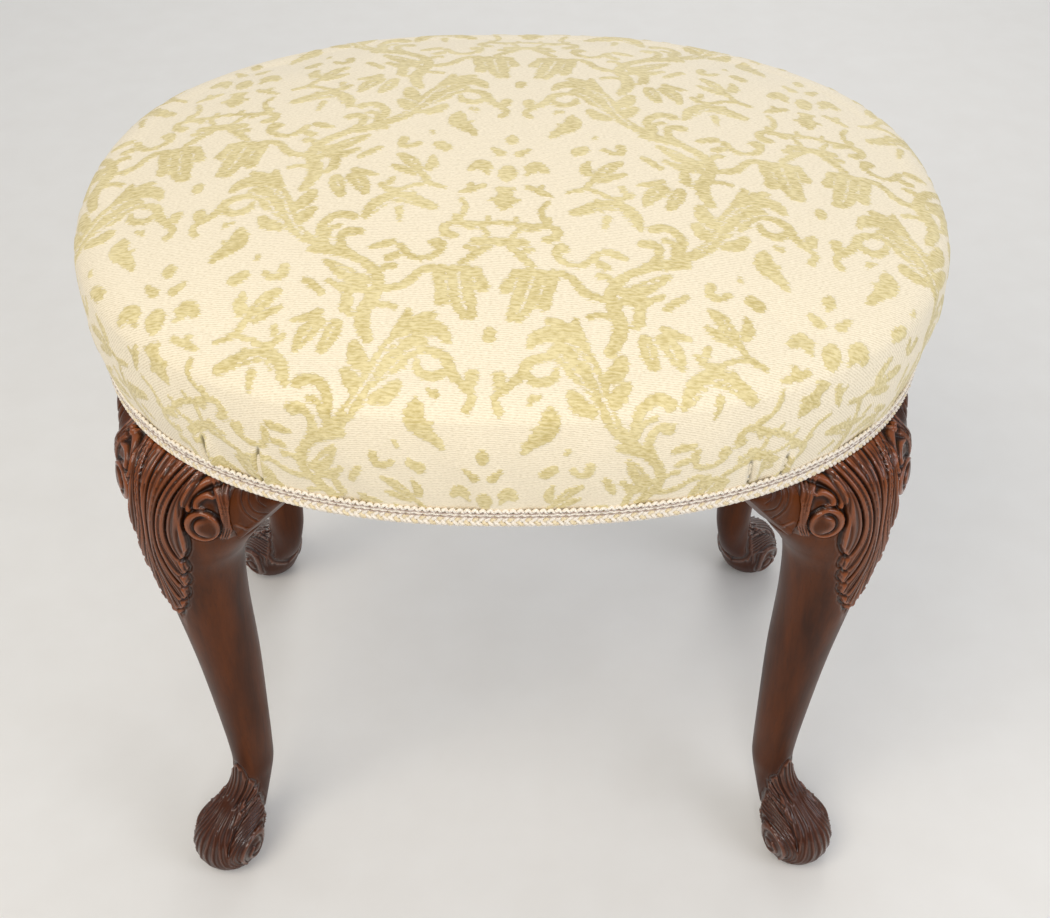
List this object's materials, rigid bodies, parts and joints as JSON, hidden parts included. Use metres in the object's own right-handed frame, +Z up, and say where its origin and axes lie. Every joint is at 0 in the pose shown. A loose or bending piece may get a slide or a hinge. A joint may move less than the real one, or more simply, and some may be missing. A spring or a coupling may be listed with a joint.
{
  "type": "vanity stool",
  "caption": "Oval vanity stool: carved cabriole legs with scrolled knees and feet under a curved frame with a stuffed, braided damask seat.",
  "frame": {"origin": "middle of the floor plane under the seat", "axes": "+X along the seat's long side, +Y from the front to the back, +Z up"},
  "size_m": [0.497, 0.396, 0.479],
  "materials": {
    "carved_mahogany": "satin",
    "beech": "matte",
    "screw_steel": "satin",
    "jute_webbing": "matte",
    "hessian": "matte",
    "hair_stuffing": "matte",
    "calico": "matte",
    "cotton_wadding": "matte",
    "damask": "satin",
    "gimp_braid": "matte",
    "bottoming_cloth": "matte"
  },
  "bodies": {
    "root": {"leg_front_left": "carved_mahogany", "leg_front_right": "carved_mahogany", "leg_back_left": "carved_mahogany", "leg_back_right": "carved_mahogany", "knee_bracket_front_left_front": "carved_mahogany", "knee_bracket_front_left_side": "carved_mahogany", "knee_bracket_front_right_front": "carved_mahogany", "knee_bracket_front_right_side": "carved_mahogany", "knee_bracket_back_left_back": "carved_mahogany", "knee_bracket_back_left_side": "carved_mahogany", "knee_bracket_back_right_back": "carved_mahogany", "knee_bracket_back_right_side": "carved_mahogany", "rail_front": "beech", "rail_back": "beech", "rail_left": "beech", "rail_right": "beech", "frame_dowels": "beech", "corner_blocks_front_left": "beech", "corner_blocks_front_right": "beech", "corner_blocks_back_left": "beech", "corner_blocks_back_right": "beech", "corner_block_screws": "screw_steel", "webbing_lengthwise": "jute_webbing", "webbing_crosswise": "jute_webbing", "hessian": "hessian", "stuffing_pad": "hair_stuffing", "calico_cover": "calico", "wadding": "cotton_wadding", "damask_cover": "damask", "gimp_braid": "gimp_braid", "dust_cover": "bottoming_cloth"}
  },
  "joints": []
}
